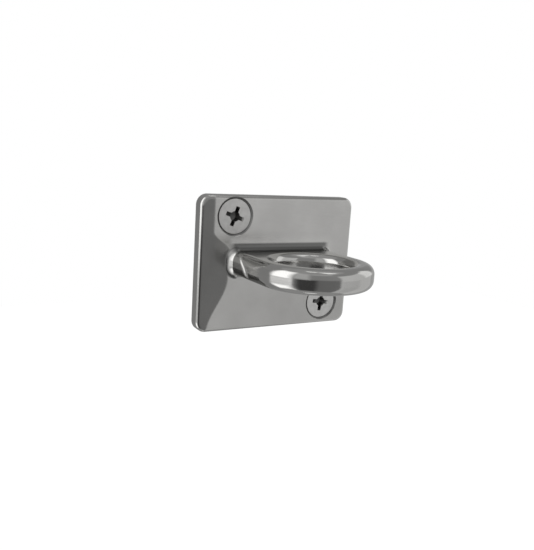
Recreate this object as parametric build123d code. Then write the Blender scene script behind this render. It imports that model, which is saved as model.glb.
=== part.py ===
from build123d import *

import os
from math import radians, tan

# Wall ring: a cast plate with a horizontal ring, held on a wall by two countersunk screws.
# Frame in millimetres: the wall is the plane Y = 0, the ring points along -Y, +Z is up,
# and the origin is the centre of the plate's back face.

# Plate
plate_width = 49.5
plate_height = 38.0
plate_thickness = 3.8
plate_corner_radius = 3.0
plate_front_round = 1.2
plate_back_break = 0.25

# How far the ring and the screw holes sit to the right of the plate's middle and above it
offset_right = 0.65
offset_up = 0.4

# Screw holes, on a diagonal of the plate, at set distances from its edges but for the offset
hole_side_margin = 9.6
hole_end_margin = 6.2
hole_diameter = 5.5
sink_diameter = 10.9
sink_angle = 90.0

# Ring, well rounded in section, with straight flanks that run back from it to the plate
ring_outer_diameter = 32.2
ring_wall = 5.85
ring_height = 6.6
ring_outer_round = 2.5
ring_inner_round = 2.3
ring_set_off = 0.8
root_fillet = 1.6
root_depth_in_plate = 1.5

# Screws, 5 x 20 countersunk with a cross recess
screw_length = 20.0
screw_head_diameter = 9.7
screw_head_rim = 0.22
screw_head_edge_round = 0.1
screw_neck_diameter = 3.7
screw_neck_run = 0.02
screw_core_diameter = 3.3
screw_point_length = 4.6
screw_tip_diameter = 0.5
screw_seat_clearance = 0.03
upper_screw_turn = 19.0
lower_screw_turn = 7.0

# Cross recess
recess_span = 5.6
recess_depth = 2.7
recess_wing_width = 1.15
recess_core_diameter = 2.9
recess_wing_slope = 26.0
recess_point_depth = 0.55

# Worked out from the sizes above
front_y = -plate_thickness
hole_offset_x = plate_width / 2 - hole_side_margin
hole_offset_z = plate_height / 2 - hole_end_margin
ring_radius = ring_outer_diameter / 2
eye_radius = ring_radius - ring_wall
ring_centre_y = front_y - ring_set_off - ring_radius
sink_depth = (sink_diameter - hole_diameter) / 2 / tan(radians(sink_angle / 2))


def lug_outline():
    """Plan of the ring and its root: half the ring's circle, and flanks square to the plate."""
    back_y = front_y + root_depth_in_plate
    left = Line((-ring_radius, back_y), (-ring_radius, ring_centre_y))
    front = ThreePointArc(
        (-ring_radius, ring_centre_y),
        (0, ring_centre_y - ring_radius),
        (ring_radius, ring_centre_y),
    )
    right = Line((ring_radius, ring_centre_y), (ring_radius, back_y))
    back = Line((ring_radius, back_y), (-ring_radius, back_y))
    return make_face([left, front, right, back])


def ring_lug():
    """The ring and its root as one flat body, rounded along its outline and round the eye."""
    plan = lug_outline() - Pos(0, ring_centre_y) * Circle(eye_radius)
    body = extrude(plan, ring_height / 2, both=True)
    outer, inner = [], []
    for face in (body.faces().sort_by(Axis.Z)[0], body.faces().sort_by(Axis.Z)[-1]):
        inner += face.inner_wires()[0].edges()
        outer += face.outer_wire().edges().sort_by(Axis.Y)[:-1]
    body = fillet(outer, ring_outer_round)
    rims = [e for e in body.edges() if is_eye_rim(e)]
    body = fillet(rims, ring_inner_round)
    return Pos(offset_right, 0, offset_up) * body


def is_eye_rim(edge):
    """Whether an edge is one of the two circles where the eye meets the flat faces."""
    return edge.geom_type == GeomType.CIRCLE and abs(edge.radius - eye_radius) < 1e-6


def plate_blank():
    """The rectangular plate with its rounded corners and softened front edge."""
    blank = extrude(
        Plane.XZ * RectangleRounded(plate_width, plate_height, plate_corner_radius),
        plate_thickness,
    )
    front = blank.faces().sort_by(Axis.Y)[0]
    blank = fillet(front.edges(), plate_front_round)
    back = blank.faces().sort_by(Axis.Y)[-1]
    return chamfer(back.edges(), plate_back_break)


def countersunk_hole():
    """The cutter for one screw hole, on the Y axis, with its mouth at the plate's front face."""
    overrun = 1.0
    growth = overrun * tan(radians(sink_angle / 2))
    profile = Polyline(
        (0, front_y - overrun),
        (sink_diameter / 2 + growth, front_y - overrun),
        (hole_diameter / 2, front_y + sink_depth),
        (hole_diameter / 2, overrun),
        (0, overrun),
        close=True,
    )
    return revolve(make_face(profile), Axis.Y)


def wall_ring():
    """The casting: plate and ring in one, with a fillet round the root and two screw holes."""
    casting = plate_blank() + ring_lug()
    front = casting.faces().filter_by(Axis.Y).sort_by(Axis.Y)[0]
    root_edges = front.inner_wires()[0].edges()
    casting = fillet(root_edges, root_fillet)
    for x, z in hole_places():
        casting -= Pos(x, 0, z) * countersunk_hole()
    return casting


def hole_places():
    """The upper left and the lower right hole, as seen from the front."""
    return [
        (offset_right - hole_offset_x, offset_up + hole_offset_z),
        (offset_right + hole_offset_x, offset_up - hole_offset_z),
    ]


def cross_recess():
    """The cutter for a cross recess, mouth at Y = 0 and deepening along +Y."""
    mouth = recess_span / 2
    overrun = 0.5
    slope = tan(radians(recess_wing_slope))
    narrowed = mouth - recess_depth * slope
    envelope = Polyline(
        (0, -overrun),
        (mouth + overrun * slope, -overrun),
        (narrowed, recess_depth),
        (0, recess_depth + recess_point_depth),
        close=True,
    )
    core = Polyline(
        (0, -overrun),
        (recess_core_diameter / 2, -overrun),
        (narrowed, recess_depth),
        (0, recess_depth + recess_point_depth),
        close=True,
    )
    depth = recess_depth + recess_point_depth + overrun
    wing = Box(recess_span + 1, depth, recess_wing_width)
    wing = Pos(0, depth / 2 - overrun, 0) * wing
    cross = wing + Rot(0, 90, 0) * wing
    return (cross & revolve(make_face(envelope), Axis.Y)) + revolve(
        make_face(core), Axis.Y
    )


def screw(turn):
    """A countersunk screw with its head's flat face at Y = 0 and its point along +Y."""
    head = screw_head_diameter / 2
    neck = screw_neck_diameter / 2
    core = screw_core_diameter / 2
    head_depth = screw_head_rim + (head - neck) / tan(radians(sink_angle / 2))
    neck_end = head_depth + screw_neck_run
    point_start = screw_length - screw_point_length
    profile = Polyline(
        (0, 0),
        (head, 0),
        (head, screw_head_rim),
        (neck, head_depth),
        (neck, neck_end),
        (core, neck_end + neck - core),
        (core, point_start),
        (screw_tip_diameter / 2, screw_length),
        (0, screw_length),
        close=True,
    )
    body = revolve(make_face(profile), Axis.Y)
    top = body.faces().sort_by(Axis.Y)[0]
    body = fillet(top.edges(), screw_head_edge_round)
    return body - Rot(0, turn, 0) * cross_recess()


def seated(body, place):
    """A screw moved into its hole until its head's cone meets the countersink."""
    sink_to_rim = (sink_diameter - screw_head_diameter) / 2 / tan(radians(sink_angle / 2))
    head_y = front_y + sink_to_rim - screw_head_rim - screw_seat_clearance
    return Pos(place[0], head_y, place[1]) * body


upper_place, lower_place = hole_places()
nodes = {
    "wall_ring": wall_ring(),
    "upper_left_screw": seated(screw(upper_screw_turn), upper_place),
    "lower_right_screw": seated(screw(lower_screw_turn), lower_place),
}

os.makedirs("parts", exist_ok=True)
for name, shape in nodes.items():
    export_step(shape, f"parts/{name}.step")
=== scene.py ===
from math import cos, pi, radians, sin, sqrt

import bpy
from mathutils import Matrix, Vector

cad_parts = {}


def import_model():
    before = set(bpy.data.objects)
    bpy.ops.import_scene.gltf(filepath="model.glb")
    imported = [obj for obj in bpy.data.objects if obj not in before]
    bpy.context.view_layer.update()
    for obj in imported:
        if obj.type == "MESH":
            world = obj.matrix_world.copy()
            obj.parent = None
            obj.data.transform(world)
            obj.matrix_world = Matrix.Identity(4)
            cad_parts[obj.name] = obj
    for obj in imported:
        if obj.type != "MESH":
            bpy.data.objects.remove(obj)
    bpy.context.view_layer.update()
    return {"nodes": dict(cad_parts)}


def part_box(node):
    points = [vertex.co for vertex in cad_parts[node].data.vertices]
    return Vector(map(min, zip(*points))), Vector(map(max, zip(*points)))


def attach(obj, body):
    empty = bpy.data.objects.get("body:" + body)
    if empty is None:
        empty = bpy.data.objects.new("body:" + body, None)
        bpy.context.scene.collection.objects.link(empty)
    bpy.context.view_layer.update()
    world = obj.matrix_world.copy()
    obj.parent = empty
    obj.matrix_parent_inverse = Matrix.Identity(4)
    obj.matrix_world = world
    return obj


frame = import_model()

# Lengths are in metres and angles in degrees. The wall is the plane Y = 0, the ring points
# along -Y, +Z is up and +X is to the right as seen from the front.
MM = 0.001
SCREWS = ("upper_left_screw", "lower_right_screw")

# Camera, at the photograph's viewing angle and distance
CAMERA_PLACE = (-91.873 * MM, -158.453 * MM, 29.981 * MM)
CAMERA_AIM = (-3.556 * MM, -3.8 * MM, -3.43 * MM)
CAMERA_ROLL = 3.516
CAMERA_LENS = 41.6
CAMERA_NEAR = 0.01
CAMERA_FAR = 20.0
SENSOR_LONG_SIDE = 36.0

# Floor, well below the part, and the light on everything but gloss
FLOOR_DROP = 1.0
FLOOR_SIZE = 8.0
FLOOR_COLOUR = (0.92, 0.92, 0.92, 1)
FLOOR_GLOW = 0.22
WORLD_LIGHT = 0.9
WHITE = (1, 1, 1, 1)

# Reflector cards stand round the part, each one a little nearer than the one before it
CARD_DISTANCE = 0.95
CARD_SPACING = 0.02
CARD_STEP = 2.0

# Each card, the farthest first: name, azimuths from the front, elevations, brightness, soft edge
CARDS = [
    ("surround", (-180, 180), (-62, 58), 0.28, 0),
    ("above_card", (-180, 180), (58, 84), 0.36, 0),
    ("below_card", (-180, 180), (-84, -62), 0.33, 0),
    ("left_back_card", (-180, -114), (-54, 24), 0.26, 6),
    ("left_low_card", (-72, -50), (-58, 4), 0.22, 5),
    ("front_low_card", (-40, 22), (-58, 2), 0.17, 4),
    ("front_dark_card", (-66, -20), (-60, 2), 0.055, 9),
    ("front_high_card", (-38, 20), (44, 64), 0.42, 6),
    ("left_front_card", (-72, -34), (-4, 62), 0.50, 9),
    ("right_card", (18, 104), (-60, 40), 0.60, 4),
    ("right_low_card", (18, 66), (-60, -2), 0.47, 12),
    ("right_back_card", (98, 150), (-52, 12), 0.42, 6),
    ("right_high_card", (74, 110), (-2, 40), 0.92, 6),
    ("left_edge_card", (-80, -66), (-62, 62), 0.68, 4),
    ("left_gap_card", (-116, -72), (-26, 2), 0.50, 4),
    ("left_low_light", (-120, -70), (-58, -16), 1.5, 11),
    ("left_high_light", (-118, -68), (-14, 62), 1.6, 11),
    ("overhead_light", (20, 70), (62, 84), 1.1, 5),
]

# The casting: edges of its plate, its root and its countersinks
PLATE_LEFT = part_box("wall_ring")[0].x
PLATE_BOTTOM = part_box("wall_ring")[0].z
PLATE_FRONT = -3.8 * MM
ROOT_CENTRE_X = 0.65 * MM
ROOT_HALF_WIDTH = 16.1 * MM
ROOT_TOP = 3.7 * MM
ROOT_FILLET = 1.6 * MM
FILLET_TOP = ROOT_TOP + ROOT_FILLET
SINK_RADIUS = 5.45 * MM

# Steel of the casting, duller in its sinks and in the fillet above the root, with painted shade
# there
CAST_DARK = (0.60, 0.595, 0.58)
CAST_LIGHT = (0.66, 0.655, 0.64)
FILLET_PAINTED_SHADE = (0.22, 0.22, 0.215)
SINK_PAINTED_SHADE = (0.3, 0.3, 0.295)
RING_ROUGHNESS = 0.115
PLATE_ROUGHNESS = 0.15
FILLET_ROUGHNESS = 0.28
SINK_ROUGHNESS = 0.4
CAST_WEAR_ROUGHNESS = 0.025

# From here to the screws, a pair of places says where a shade or a lean starts and where it is
# full. First the places on each axis: distance from the root's middle, height, and depth.
FILLET_SIDES = (ROOT_HALF_WIDTH + 0.4 * MM, ROOT_HALF_WIDTH - 1.6 * MM)
FILLET_FOOT = (ROOT_TOP - 0.5 * MM, ROOT_TOP + 0.1 * MM)
FILLET_HEAD = (FILLET_TOP + 0.8 * MM, FILLET_TOP + 0.1 * MM)
FILLET_DEPTH = (PLATE_FRONT - 5.5 * MM, PLATE_FRONT - 2.5 * MM)
FLANK_SIDES = (ROOT_HALF_WIDTH - 2.6 * MM, ROOT_HALF_WIDTH - 0.6 * MM)
PLATE_DEPTH = (PLATE_FRONT - 1.4 * MM, PLATE_FRONT - 0.2 * MM)
FACE_DEPTH = (PLATE_FRONT - 0.4 * MM, PLATE_FRONT - 0.1 * MM)
SINK_DEPTH = (PLATE_FRONT, PLATE_FRONT + 0.1 * MM)
FRONT_HALF = (-1.0 * MM, -1.4 * MM)
SINK_RIM = (SINK_RADIUS + 0.03 * MM, SINK_RADIUS - 0.05 * MM)

# Near its left edge the plate's face falls away at this slope. The stretch that does so changes
# in width between these heights, and is widest beside the root.
FALL_SLOPE = 0.09
FALL_EASE = (0.0, 1.2 * MM)
FALL_LOWER = (PLATE_BOTTOM, -4.0 * MM)
FALL_UPPER = (4.0 * MM, 9.0 * MM)
FALL_AT_BOTTOM = 3.4 * MM
FALL_WIDEST = 9.4 * MM
FALL_AT_TOP = 4.6 * MM

# Above the root the face leans up by this slope to meet the fillet
SWELL_SLOPE = 0.06
SWELL_SIDES = (ROOT_HALF_WIDTH + 2.0 * MM, ROOT_HALF_WIDTH - 1.0 * MM)
SWELL_HEAD = (FILLET_TOP + 3.2 * MM, FILLET_TOP)
SWELL_FOOT = (0.0, ROOT_TOP)

# The root's flanks lean to the front by their draft, by the flare at the fillet and along an arc,
# and a little upwards, and their fillets lean outwards. These places are distances from the
# plate's face, and that of the arc is a distance from its middle.
FLANK_DRAFT = 0.16
DRAFT_REACH = (16.0 * MM, 4.0 * MM)
FLANK_FLARE = 0.36
FLARE_REACH = (ROOT_FILLET * 1.3, ROOT_FILLET * 0.8)
FLANK_OUTWARD = 0.9
OUTWARD_REACH = (ROOT_FILLET, 0.0)
FLANK_UP = 0.13
UP_REACH = (17.0 * MM, 12.0 * MM)
OFF_FILLET = (ROOT_FILLET, ROOT_FILLET + 0.8 * MM)
OFF_FACE = (0.01 * MM, 0.12 * MM)
FLANK_ARC = 0.25
ARC_EDGE = (1.7 * MM, 0.1 * MM)
ARC_FOOT_HEIGHT = -3.0 * MM
ARC_FOOT_REACH = 9.9 * MM
ARC_BEND = 147

# Steel of the screws, with painted shade in the recess, from behind the head's face to the
# recess's floor
SCREW_DARK = (0.72, 0.715, 0.70)
SCREW_LIGHT = (0.82, 0.815, 0.80)
SCREW_ROUGHNESS = (0.26, 0.38)
RECESS_PAINTED_SHADE = (0.26, 0.26, 0.255)
RECESS_MOUTH = (0.15 * MM, 1.0 * MM)
RECESS_FLOOR = (3.45 * MM, 3.25 * MM)

# Noises in the steel: features to the metre, and octaves of detail
CAST_TONE = (90, 4)
CAST_WEAR = (260, 6)
WHEEL_MARKS = (250, 2)
CAST_WAVES = (120, 1)
FINE_MARKS = (1600, 3)
SCREW_TONE = (700, 4)
SCREW_WEAR = (1500, 3)
TONE_STOPS = (0.35, 0.65)

# How deep the marks are, and how much flatter than long they are
WHEEL_DEPTH = 0.008 * MM
WAVE_DEPTH = 0.02 * MM
FINE_DEPTH = 0.002 * MM
WHEEL_STRETCH = (1, 1, 3)
LINE_STRETCH = (1, 1, 9)

# Rings that turning leaves on the screws
TURNING_SCALE = 900
TURNING_DISTORTION = 0.6
TURNING_DETAIL_SCALE = 300
TURNING_DEPTH = 0.002 * MM

# Thread of the screws
THREAD_PITCH = 2.2 * MM
THREAD_RADIUS = 2.5 * MM
THREAD_ROOT_RADIUS = 1.65 * MM
THREAD_SINK = 0.12 * MM
THREAD_START = 0.6 * MM
THREAD_POINT_LENGTH = 4.6 * MM
THREAD_TIP_RADIUS = 0.25 * MM
THREAD_TIP_CLEARANCE = 0.5 * MM
THREAD_ROOT_WIDTH = 1.05 * MM
THREAD_TIP_SHARE = 0.35
THREAD_END_SHARE = 0.3
THREAD_CREST_WIDTH = 0.16 * MM
THREAD_CREST_SHARE = 0.5
THREAD_RUN_OUT = 0.75
THREAD_STEPS = 60


def camera():
    """The camera of the photograph."""
    data = bpy.data.cameras.new("camera")
    data.lens = CAMERA_LENS
    data.sensor_width = SENSOR_LONG_SIDE
    data.clip_start = CAMERA_NEAR
    data.clip_end = CAMERA_FAR
    eye = bpy.data.objects.new("camera", data)
    bpy.context.scene.collection.objects.link(eye)
    place = Vector(CAMERA_PLACE)
    turn = (Vector(CAMERA_AIM) - place).to_track_quat("-Z", "Y").to_matrix()
    roll = Matrix.Rotation(radians(CAMERA_ROLL), 3, "Z")
    eye.matrix_world = Matrix.Translation(place) @ (turn @ roll).to_4x4()
    bpy.context.scene.camera = eye


def mesh_object(name, points, faces):
    """A new object in the scene, made of points and faces."""
    mesh = bpy.data.meshes.new(name)
    mesh.from_pydata(points, [], faces)
    piece = bpy.data.objects.new(name, mesh)
    bpy.context.scene.collection.objects.link(piece)
    return piece


def give(piece, material):
    """Makes a material the only one of a piece."""
    piece.data.materials.clear()
    piece.data.materials.append(material)


def screw_axis(node):
    """Where a screw's axis crosses the wall, and how deep its tip is."""
    low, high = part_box(node)
    return (low.x + high.x) / 2, (low.z + high.z) / 2, high.y


def new_material(name):
    """A material with an empty node tree, and that tree."""
    material = bpy.data.materials.new(name)
    material.use_nodes = True
    material.node_tree.nodes.clear()
    return material, material.node_tree


def add(tree, kind, inputs=None, **settings):
    """Adds a node to a tree, with its settings, and its inputs linked to sockets or set."""
    node = tree.nodes.new(kind)
    for name, value in settings.items():
        setattr(node, name, value)
    for key, value in (inputs or {}).items():
        if isinstance(value, bpy.types.NodeSocket):
            tree.links.new(value, node.inputs[key])
        else:
            node.inputs[key].default_value = value
    return node


def place_coordinates(tree, centre=(0, 0, 0), stretch=(1, 1, 1)):
    """Coordinates in metres from a centre, stretched along each axis."""
    inputs = {
        "Vector": add(tree, "ShaderNodeTexCoord").outputs["Object"],
        "Location": [-c * s for c, s in zip(centre, stretch)],
        "Scale": stretch,
    }
    return add(tree, "ShaderNodeMapping", inputs, vector_type="POINT").outputs["Vector"]


def parts_of(tree, vector):
    """The three parts of a vector."""
    split = add(tree, "ShaderNodeSeparateXYZ", {"Vector": vector})
    return split.outputs["X"], split.outputs["Y"], split.outputs["Z"]


def joined(tree, x, y, z):
    """A vector made of three parts."""
    return add(tree, "ShaderNodeCombineXYZ", {"X": x, "Y": y, "Z": z}).outputs["Vector"]


def calc(tree, operation, *values):
    """One step of arithmetic on sockets and numbers."""
    inputs = dict(enumerate(values))
    return add(tree, "ShaderNodeMath", inputs, operation=operation).outputs["Value"]


def product(tree, first, *others):
    """Sockets and numbers multiplied together."""
    for other in others:
        first = calc(tree, "MULTIPLY", first, other)
    return first


def spread(tree, value, low, high):
    """The value from 0 to 1 mapped evenly to low and high."""
    inputs = {"Value": value, "To Min": low, "To Max": high}
    return add(tree, "ShaderNodeMapRange", inputs).outputs["Result"]


def between(tree, value, start, end, low=0.0, high=1.0):
    """The value's stretch from start to end mapped softly to low and high, and held beyond it."""
    inputs = {"Value": value, "From Min": start, "From Max": end, "To Min": low, "To Max": high}
    node = add(tree, "ShaderNodeMapRange", inputs, interpolation_type="SMOOTHSTEP")
    return node.outputs["Result"]


def noise(tree, vector, per_metre, detail):
    """A noise with features of about one over per_metre."""
    inputs = {"Vector": vector, "Scale": per_metre, "Detail": detail}
    return add(tree, "ShaderNodeTexNoise", inputs).outputs["Fac"]


def tones(tree, value, dark, light):
    """A colour that goes from dark to light with the value, and stays there beyond the stops."""
    node = add(tree, "ShaderNodeValToRGB", {"Fac": value})
    for element, position, colour in zip(node.color_ramp.elements, TONE_STOPS, (dark, light)):
        element.position = position
        element.color = (*colour, 1)
    return node.outputs["Color"]


def blend(tree, share, first, second):
    """A colour mixed from the first to the second by a share."""
    inputs = {"Factor": share, "A": first, "B": (*second, 1)}
    return add(tree, "ShaderNodeMix", inputs, data_type="RGBA").outputs["Result"]


def leaned(tree, normal, lean):
    """A normal leaned by a vector."""
    total = add(tree, "ShaderNodeVectorMath", {0: normal, 1: lean}).outputs["Vector"]
    return add(tree, "ShaderNodeVectorMath", {0: total}, operation="NORMALIZE").outputs["Vector"]


def bump(tree, height, depth, before=None):
    """A bump of the given depth, on top of the normal before it if there is one."""
    inputs = {"Height": height, "Distance": depth}
    if before is not None:
        inputs["Normal"] = before
    return add(tree, "ShaderNodeBump", inputs).outputs["Normal"]


def from_middle(tree, x):
    """How far to either side of the root's middle a place is."""
    return calc(tree, "ABSOLUTE", calc(tree, "SUBTRACT", x, ROOT_CENTRE_X))


def in_front_half(tree, y):
    """One in the front half of the plate and before it, nought in its back half."""
    return between(tree, y, *FRONT_HALF)


def face_lean(tree, x, y, z):
    """How the plate's face leans to the left near its left edge, and upwards above the root."""
    lower = between(tree, z, *FALL_LOWER, FALL_AT_BOTTOM, FALL_WIDEST)
    upper = between(tree, z, *FALL_UPPER, FALL_WIDEST, FALL_AT_TOP)
    width = calc(tree, "MINIMUM", lower, upper)
    past = calc(tree, "SUBTRACT", width, calc(tree, "SUBTRACT", x, PLATE_LEFT))
    left = between(tree, past, *FALL_EASE, 0.0, -FALL_SLOPE)
    up = product(
        tree,
        between(tree, z, *SWELL_HEAD, 0.0, SWELL_SLOPE),
        between(tree, z, *SWELL_FOOT),
        between(tree, from_middle(tree, x), *SWELL_SIDES),
    )
    on_face = product(tree, between(tree, y, *FACE_DEPTH), in_front_half(tree, y))
    return joined(tree, product(tree, left, on_face), 0.0, product(tree, up, on_face))


def arc_lean(tree, from_plate, z):
    """How far a flank leans to the front along an arc that nears the plate as it climbs."""
    over_foot = calc(tree, "SUBTRACT", z, ARC_FOOT_HEIGHT)
    back = product(tree, over_foot, over_foot, ARC_BEND)
    arc = calc(tree, "SUBTRACT", ARC_FOOT_REACH, back)
    off_arc = calc(tree, "ABSOLUTE", calc(tree, "SUBTRACT", from_plate, arc))
    return between(tree, off_arc, *ARC_EDGE, 0.0, FLANK_ARC)


def flank_lean(tree, x, y, z):
    """How the root's flanks and their fillets lean, as they flare out to the plate."""
    from_plate = calc(tree, "SUBTRACT", PLATE_FRONT, y)
    draft = between(tree, from_plate, *DRAFT_REACH, 0.0, FLANK_DRAFT)
    flare = between(tree, from_plate, *FLARE_REACH, 0.0, FLANK_FLARE)
    front = calc(tree, "ADD", calc(tree, "ADD", draft, flare), arc_lean(tree, from_plate, z))
    side = calc(tree, "SIGN", calc(tree, "SUBTRACT", x, ROOT_CENTRE_X))
    outward = product(tree, side, between(tree, from_plate, *OUTWARD_REACH, 0.0, FLANK_OUTWARD))
    up = between(tree, from_plate, *UP_REACH, 0.0, FLANK_UP)
    on_flank = between(tree, from_middle(tree, x), *FLANK_SIDES)
    off_face = between(tree, from_plate, *OFF_FACE)
    off_fillet = between(tree, from_plate, *OFF_FILLET)
    return joined(
        tree,
        product(tree, outward, on_flank, off_face),
        product(tree, front, on_flank, off_face, -1.0),
        product(tree, up, on_flank, off_fillet),
    )


def above_root(tree, x, y, z):
    """One in the fillet above the root, which gets painted shade, and nought elsewhere."""
    return product(
        tree,
        between(tree, from_middle(tree, x), *FILLET_SIDES),
        between(tree, z, *FILLET_FOOT),
        between(tree, z, *FILLET_HEAD),
        between(tree, y, *FILLET_DEPTH),
        in_front_half(tree, y),
    )


def in_sink(tree, x, y, z, screw):
    """One in the countersink of a screw, which gets painted shade, and nought elsewhere."""
    centre_x, centre_z, _ = screw_axis(screw)
    across = calc(tree, "SUBTRACT", x, centre_x)
    up = calc(tree, "SUBTRACT", z, centre_z)
    squares = calc(tree, "ADD", product(tree, across, across), product(tree, up, up))
    away = calc(tree, "SQRT", squares)
    return product(
        tree,
        between(tree, away, *SINK_RIM),
        between(tree, y, *SINK_DEPTH),
        in_front_half(tree, y),
    )


def polished_steel():
    """Polished cast stainless steel, dull only in its sinks and above the root, where shade is
    painted.
    """
    material, tree = new_material("polished_steel")
    plain = place_coordinates(tree)
    streaks = place_coordinates(tree, stretch=WHEEL_STRETCH)
    lines = place_coordinates(tree, stretch=LINE_STRETCH)
    x, y, z = parts_of(tree, plain)
    in_fillet = above_root(tree, x, y, z)
    sunk = calc(tree, "MAXIMUM", *[in_sink(tree, x, y, z, screw) for screw in SCREWS])

    colour = tones(tree, noise(tree, plain, *CAST_TONE), CAST_DARK, CAST_LIGHT)
    # Painted shade in the crease of the fillet above the root and in the countersinks
    colour = blend(tree, in_fillet, colour, FILLET_PAINTED_SHADE)
    colour = blend(tree, sunk, colour, SINK_PAINTED_SHADE)

    on_plate = between(tree, y, *PLATE_DEPTH)
    clean = between(tree, on_plate, 0.0, 1.0, RING_ROUGHNESS, PLATE_ROUGHNESS)
    wear = noise(tree, lines, *CAST_WEAR)
    wear = spread(tree, wear, -CAST_WEAR_ROUGHNESS, CAST_WEAR_ROUGHNESS)
    roughness = calc(tree, "ADD", clean, wear)
    dull_fillet = product(tree, in_fillet, FILLET_ROUGHNESS)
    dull_sink = product(tree, sunk, SINK_ROUGHNESS)
    dull = calc(tree, "MAXIMUM", dull_fillet, dull_sink)

    normal = add(tree, "ShaderNodeNewGeometry").outputs["Normal"]
    normal = leaned(tree, normal, face_lean(tree, x, y, z))
    normal = leaned(tree, normal, flank_lean(tree, x, y, z))
    normal = bump(tree, noise(tree, streaks, *WHEEL_MARKS), WHEEL_DEPTH, normal)
    normal = bump(tree, noise(tree, plain, *CAST_WAVES), WAVE_DEPTH, normal)
    normal = bump(tree, noise(tree, lines, *FINE_MARKS), FINE_DEPTH, normal)

    show_metal(tree, colour, calc(tree, "MAXIMUM", roughness, dull), normal)
    return material


def satin_steel(screw):
    """Satin stainless steel of a screw, with the fine rings that turning leaves round its axis."""
    material, tree = new_material(f"{screw}_steel")
    axis_x, axis_z, _ = screw_axis(screw)
    head_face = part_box(screw)[0].y
    about_axis = place_coordinates(tree, (axis_x, head_face, axis_z))
    _, depth, _ = parts_of(tree, about_axis)
    in_recess = product(
        tree,
        between(tree, depth, *RECESS_MOUTH),
        between(tree, depth, *RECESS_FLOOR),
    )
    colour = tones(tree, noise(tree, about_axis, *SCREW_TONE), SCREW_DARK, SCREW_LIGHT)
    # Painted shade in the screw's recess
    colour = blend(tree, in_recess, colour, RECESS_PAINTED_SHADE)
    roughness = spread(tree, noise(tree, about_axis, *SCREW_WEAR), *SCREW_ROUGHNESS)
    inputs = {
        "Vector": about_axis,
        "Scale": TURNING_SCALE,
        "Distortion": TURNING_DISTORTION,
        "Detail Scale": TURNING_DETAIL_SCALE,
    }
    rings = add(tree, "ShaderNodeTexWave", inputs, wave_type="RINGS", rings_direction="Y")
    show_metal(tree, colour, roughness, bump(tree, rings.outputs["Fac"], TURNING_DEPTH))
    return material


def show_metal(tree, colour, roughness, normal):
    """Gives a material's output a metal of a colour, a roughness and a normal."""
    inputs = {"Base Color": colour, "Roughness": roughness, "Normal": normal, "Metallic": 1.0}
    metal = add(tree, "ShaderNodeBsdfPrincipled", inputs).outputs["BSDF"]
    add(tree, "ShaderNodeOutputMaterial", {"Surface": metal})


def world():
    """White round the part for camera, gloss and glass, and a plain soft light for the rest."""
    surroundings = bpy.data.worlds.new("world")
    bpy.context.scene.world = surroundings
    surroundings.use_nodes = True
    tree = surroundings.node_tree
    tree.nodes.clear()
    soft = add(tree, "ShaderNodeBackground", {"Color": WHITE, "Strength": WORLD_LIGHT})
    white = add(tree, "ShaderNodeBackground", {"Color": WHITE, "Strength": 1.0})
    path = add(tree, "ShaderNodeLightPath").outputs
    to_white = calc(tree, "MAXIMUM", path["Is Camera Ray"], path["Is Glossy Ray"])
    to_white = calc(tree, "MAXIMUM", to_white, path["Is Transmission Ray"])
    inputs = {"Fac": to_white, 1: soft.outputs[0], 2: white.outputs[0]}
    mix = add(tree, "ShaderNodeMixShader", inputs)
    add(tree, "ShaderNodeOutputWorld", {"Surface": mix.outputs[0]})


def floor():
    """A pale floor well below the part, which keeps its soft shadow."""
    half = FLOOR_SIZE / 2
    corners = [(-half, -half), (half, -half), (half, half), (-half, half)]
    ground = mesh_object("floor", [(x, y, -FLOOR_DROP) for x, y in corners], [(0, 1, 2, 3)])
    material, tree = new_material("floor")
    pale = add(tree, "ShaderNodeBsdfDiffuse", {"Color": FLOOR_COLOUR}).outputs[0]
    glow = add(tree, "ShaderNodeEmission", {"Strength": FLOOR_GLOW}).outputs[0]
    both = add(tree, "ShaderNodeAddShader", {0: pale, 1: glow}).outputs[0]
    add(tree, "ShaderNodeOutputMaterial", {"Surface": both})
    give(ground, material)


def toward(azimuth, elevation):
    """The direction at an azimuth from the front, turning to the right, and an elevation."""
    level = cos(radians(elevation))
    right = sin(radians(azimuth)) * level
    front = cos(radians(azimuth)) * level
    return Vector((right, -front, sin(radians(elevation))))


def card_material(name, tone):
    """A plain glow that thins out to nothing where the card's fade is nought."""
    material, tree = new_material(name)
    glow = add(tree, "ShaderNodeEmission", {"Strength": tone}).outputs[0]
    clear = add(tree, "ShaderNodeBsdfTransparent").outputs[0]
    fade = add(tree, "ShaderNodeAttribute", attribute_name="fade").outputs["Fac"]
    mix = add(tree, "ShaderNodeMixShader", {"Fac": fade, 1: clear, 2: glow})
    add(tree, "ShaderNodeOutputMaterial", {"Surface": mix.outputs[0]})
    return material


def card(name, azimuths, elevations, tone, softness, distance):
    """A curved studio card that shows in gloss alone, its edges fading over softness degrees."""
    left, right = azimuths
    low, high = elevations
    columns = round((right - left) / CARD_STEP)
    rows = round((high - low) / CARD_STEP)
    points, faces, fades = [], [], []
    for j in range(rows + 1):
        elevation = low + (high - low) * j / rows
        for i in range(columns + 1):
            azimuth = left + (right - left) * i / columns
            edge = min(azimuth - left, right - azimuth, elevation - low, high - elevation)
            points.append(toward(azimuth, elevation) * distance)
            fades.append(min(1.0, edge / softness) if softness else 1.0)
    for j in range(rows):
        for i in range(columns):
            first = j * (columns + 1) + i
            faces.append((first, first + 1, first + columns + 2, first + columns + 1))
    panel = mesh_object(name, points, faces)
    panel.data.attributes.new("fade", "FLOAT", "POINT").data.foreach_set("value", fades)
    give(panel, card_material(name, tone))
    panel.visible_camera = False
    panel.visible_diffuse = False
    panel.visible_shadow = False


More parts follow.
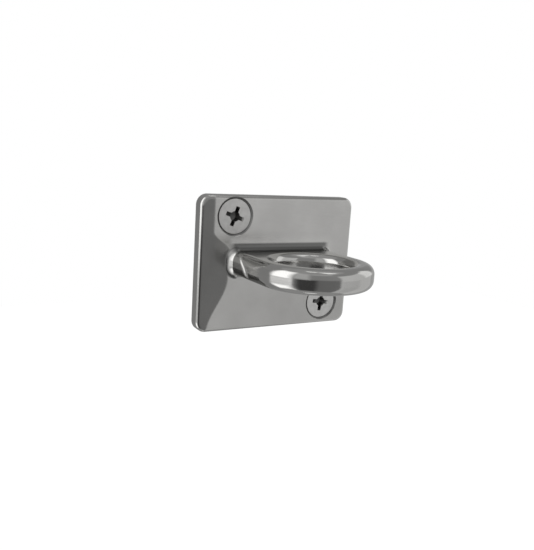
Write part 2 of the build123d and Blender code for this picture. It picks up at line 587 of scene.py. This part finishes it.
def studio():
    """Cards round the part, which give the steel its tones."""
    for k, (name, azimuths, elevations, tone, softness) in enumerate(CARDS):
        card(name, azimuths, elevations, tone, softness, CARD_DISTANCE - k * CARD_SPACING)


def thread(node):
    """A helical ridge round a screw's core, running out at the head end and on the point."""
    x, z, tip = screw_axis(node)
    end = tip - THREAD_TIP_CLEARANCE
    turns = (end - THREAD_START) / THREAD_PITCH
    steps = round(turns * THREAD_STEPS)
    points, faces = [], []
    for k in range(steps + 1):
        done = k / steps
        y = THREAD_START + (end - THREAD_START) * done
        angle = 2 * pi * turns * done
        taper = min(1.0, (tip - y) / THREAD_POINT_LENGTH)
        grow = min(1.0, turns * done / THREAD_RUN_OUT, turns * (1 - done) / THREAD_RUN_OUT)
        root = THREAD_TIP_RADIUS + (THREAD_ROOT_RADIUS - THREAD_TIP_RADIUS) * taper
        crest = root + (THREAD_RADIUS - THREAD_ROOT_RADIUS) * sqrt(taper) * grow
        tip_share = THREAD_TIP_SHARE + (1 - THREAD_TIP_SHARE) * taper
        end_share = THREAD_END_SHARE + (1 - THREAD_END_SHARE) * grow
        wide = THREAD_ROOT_WIDTH / 2 * tip_share * end_share
        narrow = min(THREAD_CREST_WIDTH / 2, wide * THREAD_CREST_SHARE)
        foot = root - THREAD_SINK
        section = ((foot, -wide), (crest, -narrow), (crest, narrow), (foot, wide))
        for reach, along in section:
            points.append((x + reach * cos(angle), y + along, z + reach * sin(angle)))
    corners = len(section)
    for k in range(steps):
        for i in range(corners):
            a, b = corners * k + i, corners * k + (i + 1) % corners
            faces.append((a, b, b + corners, a + corners))
    faces.append(tuple(reversed(range(corners))))
    faces.append(tuple(range(corners * steps, corners * (steps + 1))))
    ridge = mesh_object(f"{node}_thread", points, faces)
    give(ridge, frame["nodes"][node].data.materials[0])
    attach(ridge, "root")


camera()
world()
floor()
studio()

give(frame["nodes"]["wall_ring"], polished_steel())
for screw in SCREWS:
    give(frame["nodes"][screw], satin_steel(screw))
    thread(screw)

bpy.context.scene.view_settings.view_transform = "Standard"
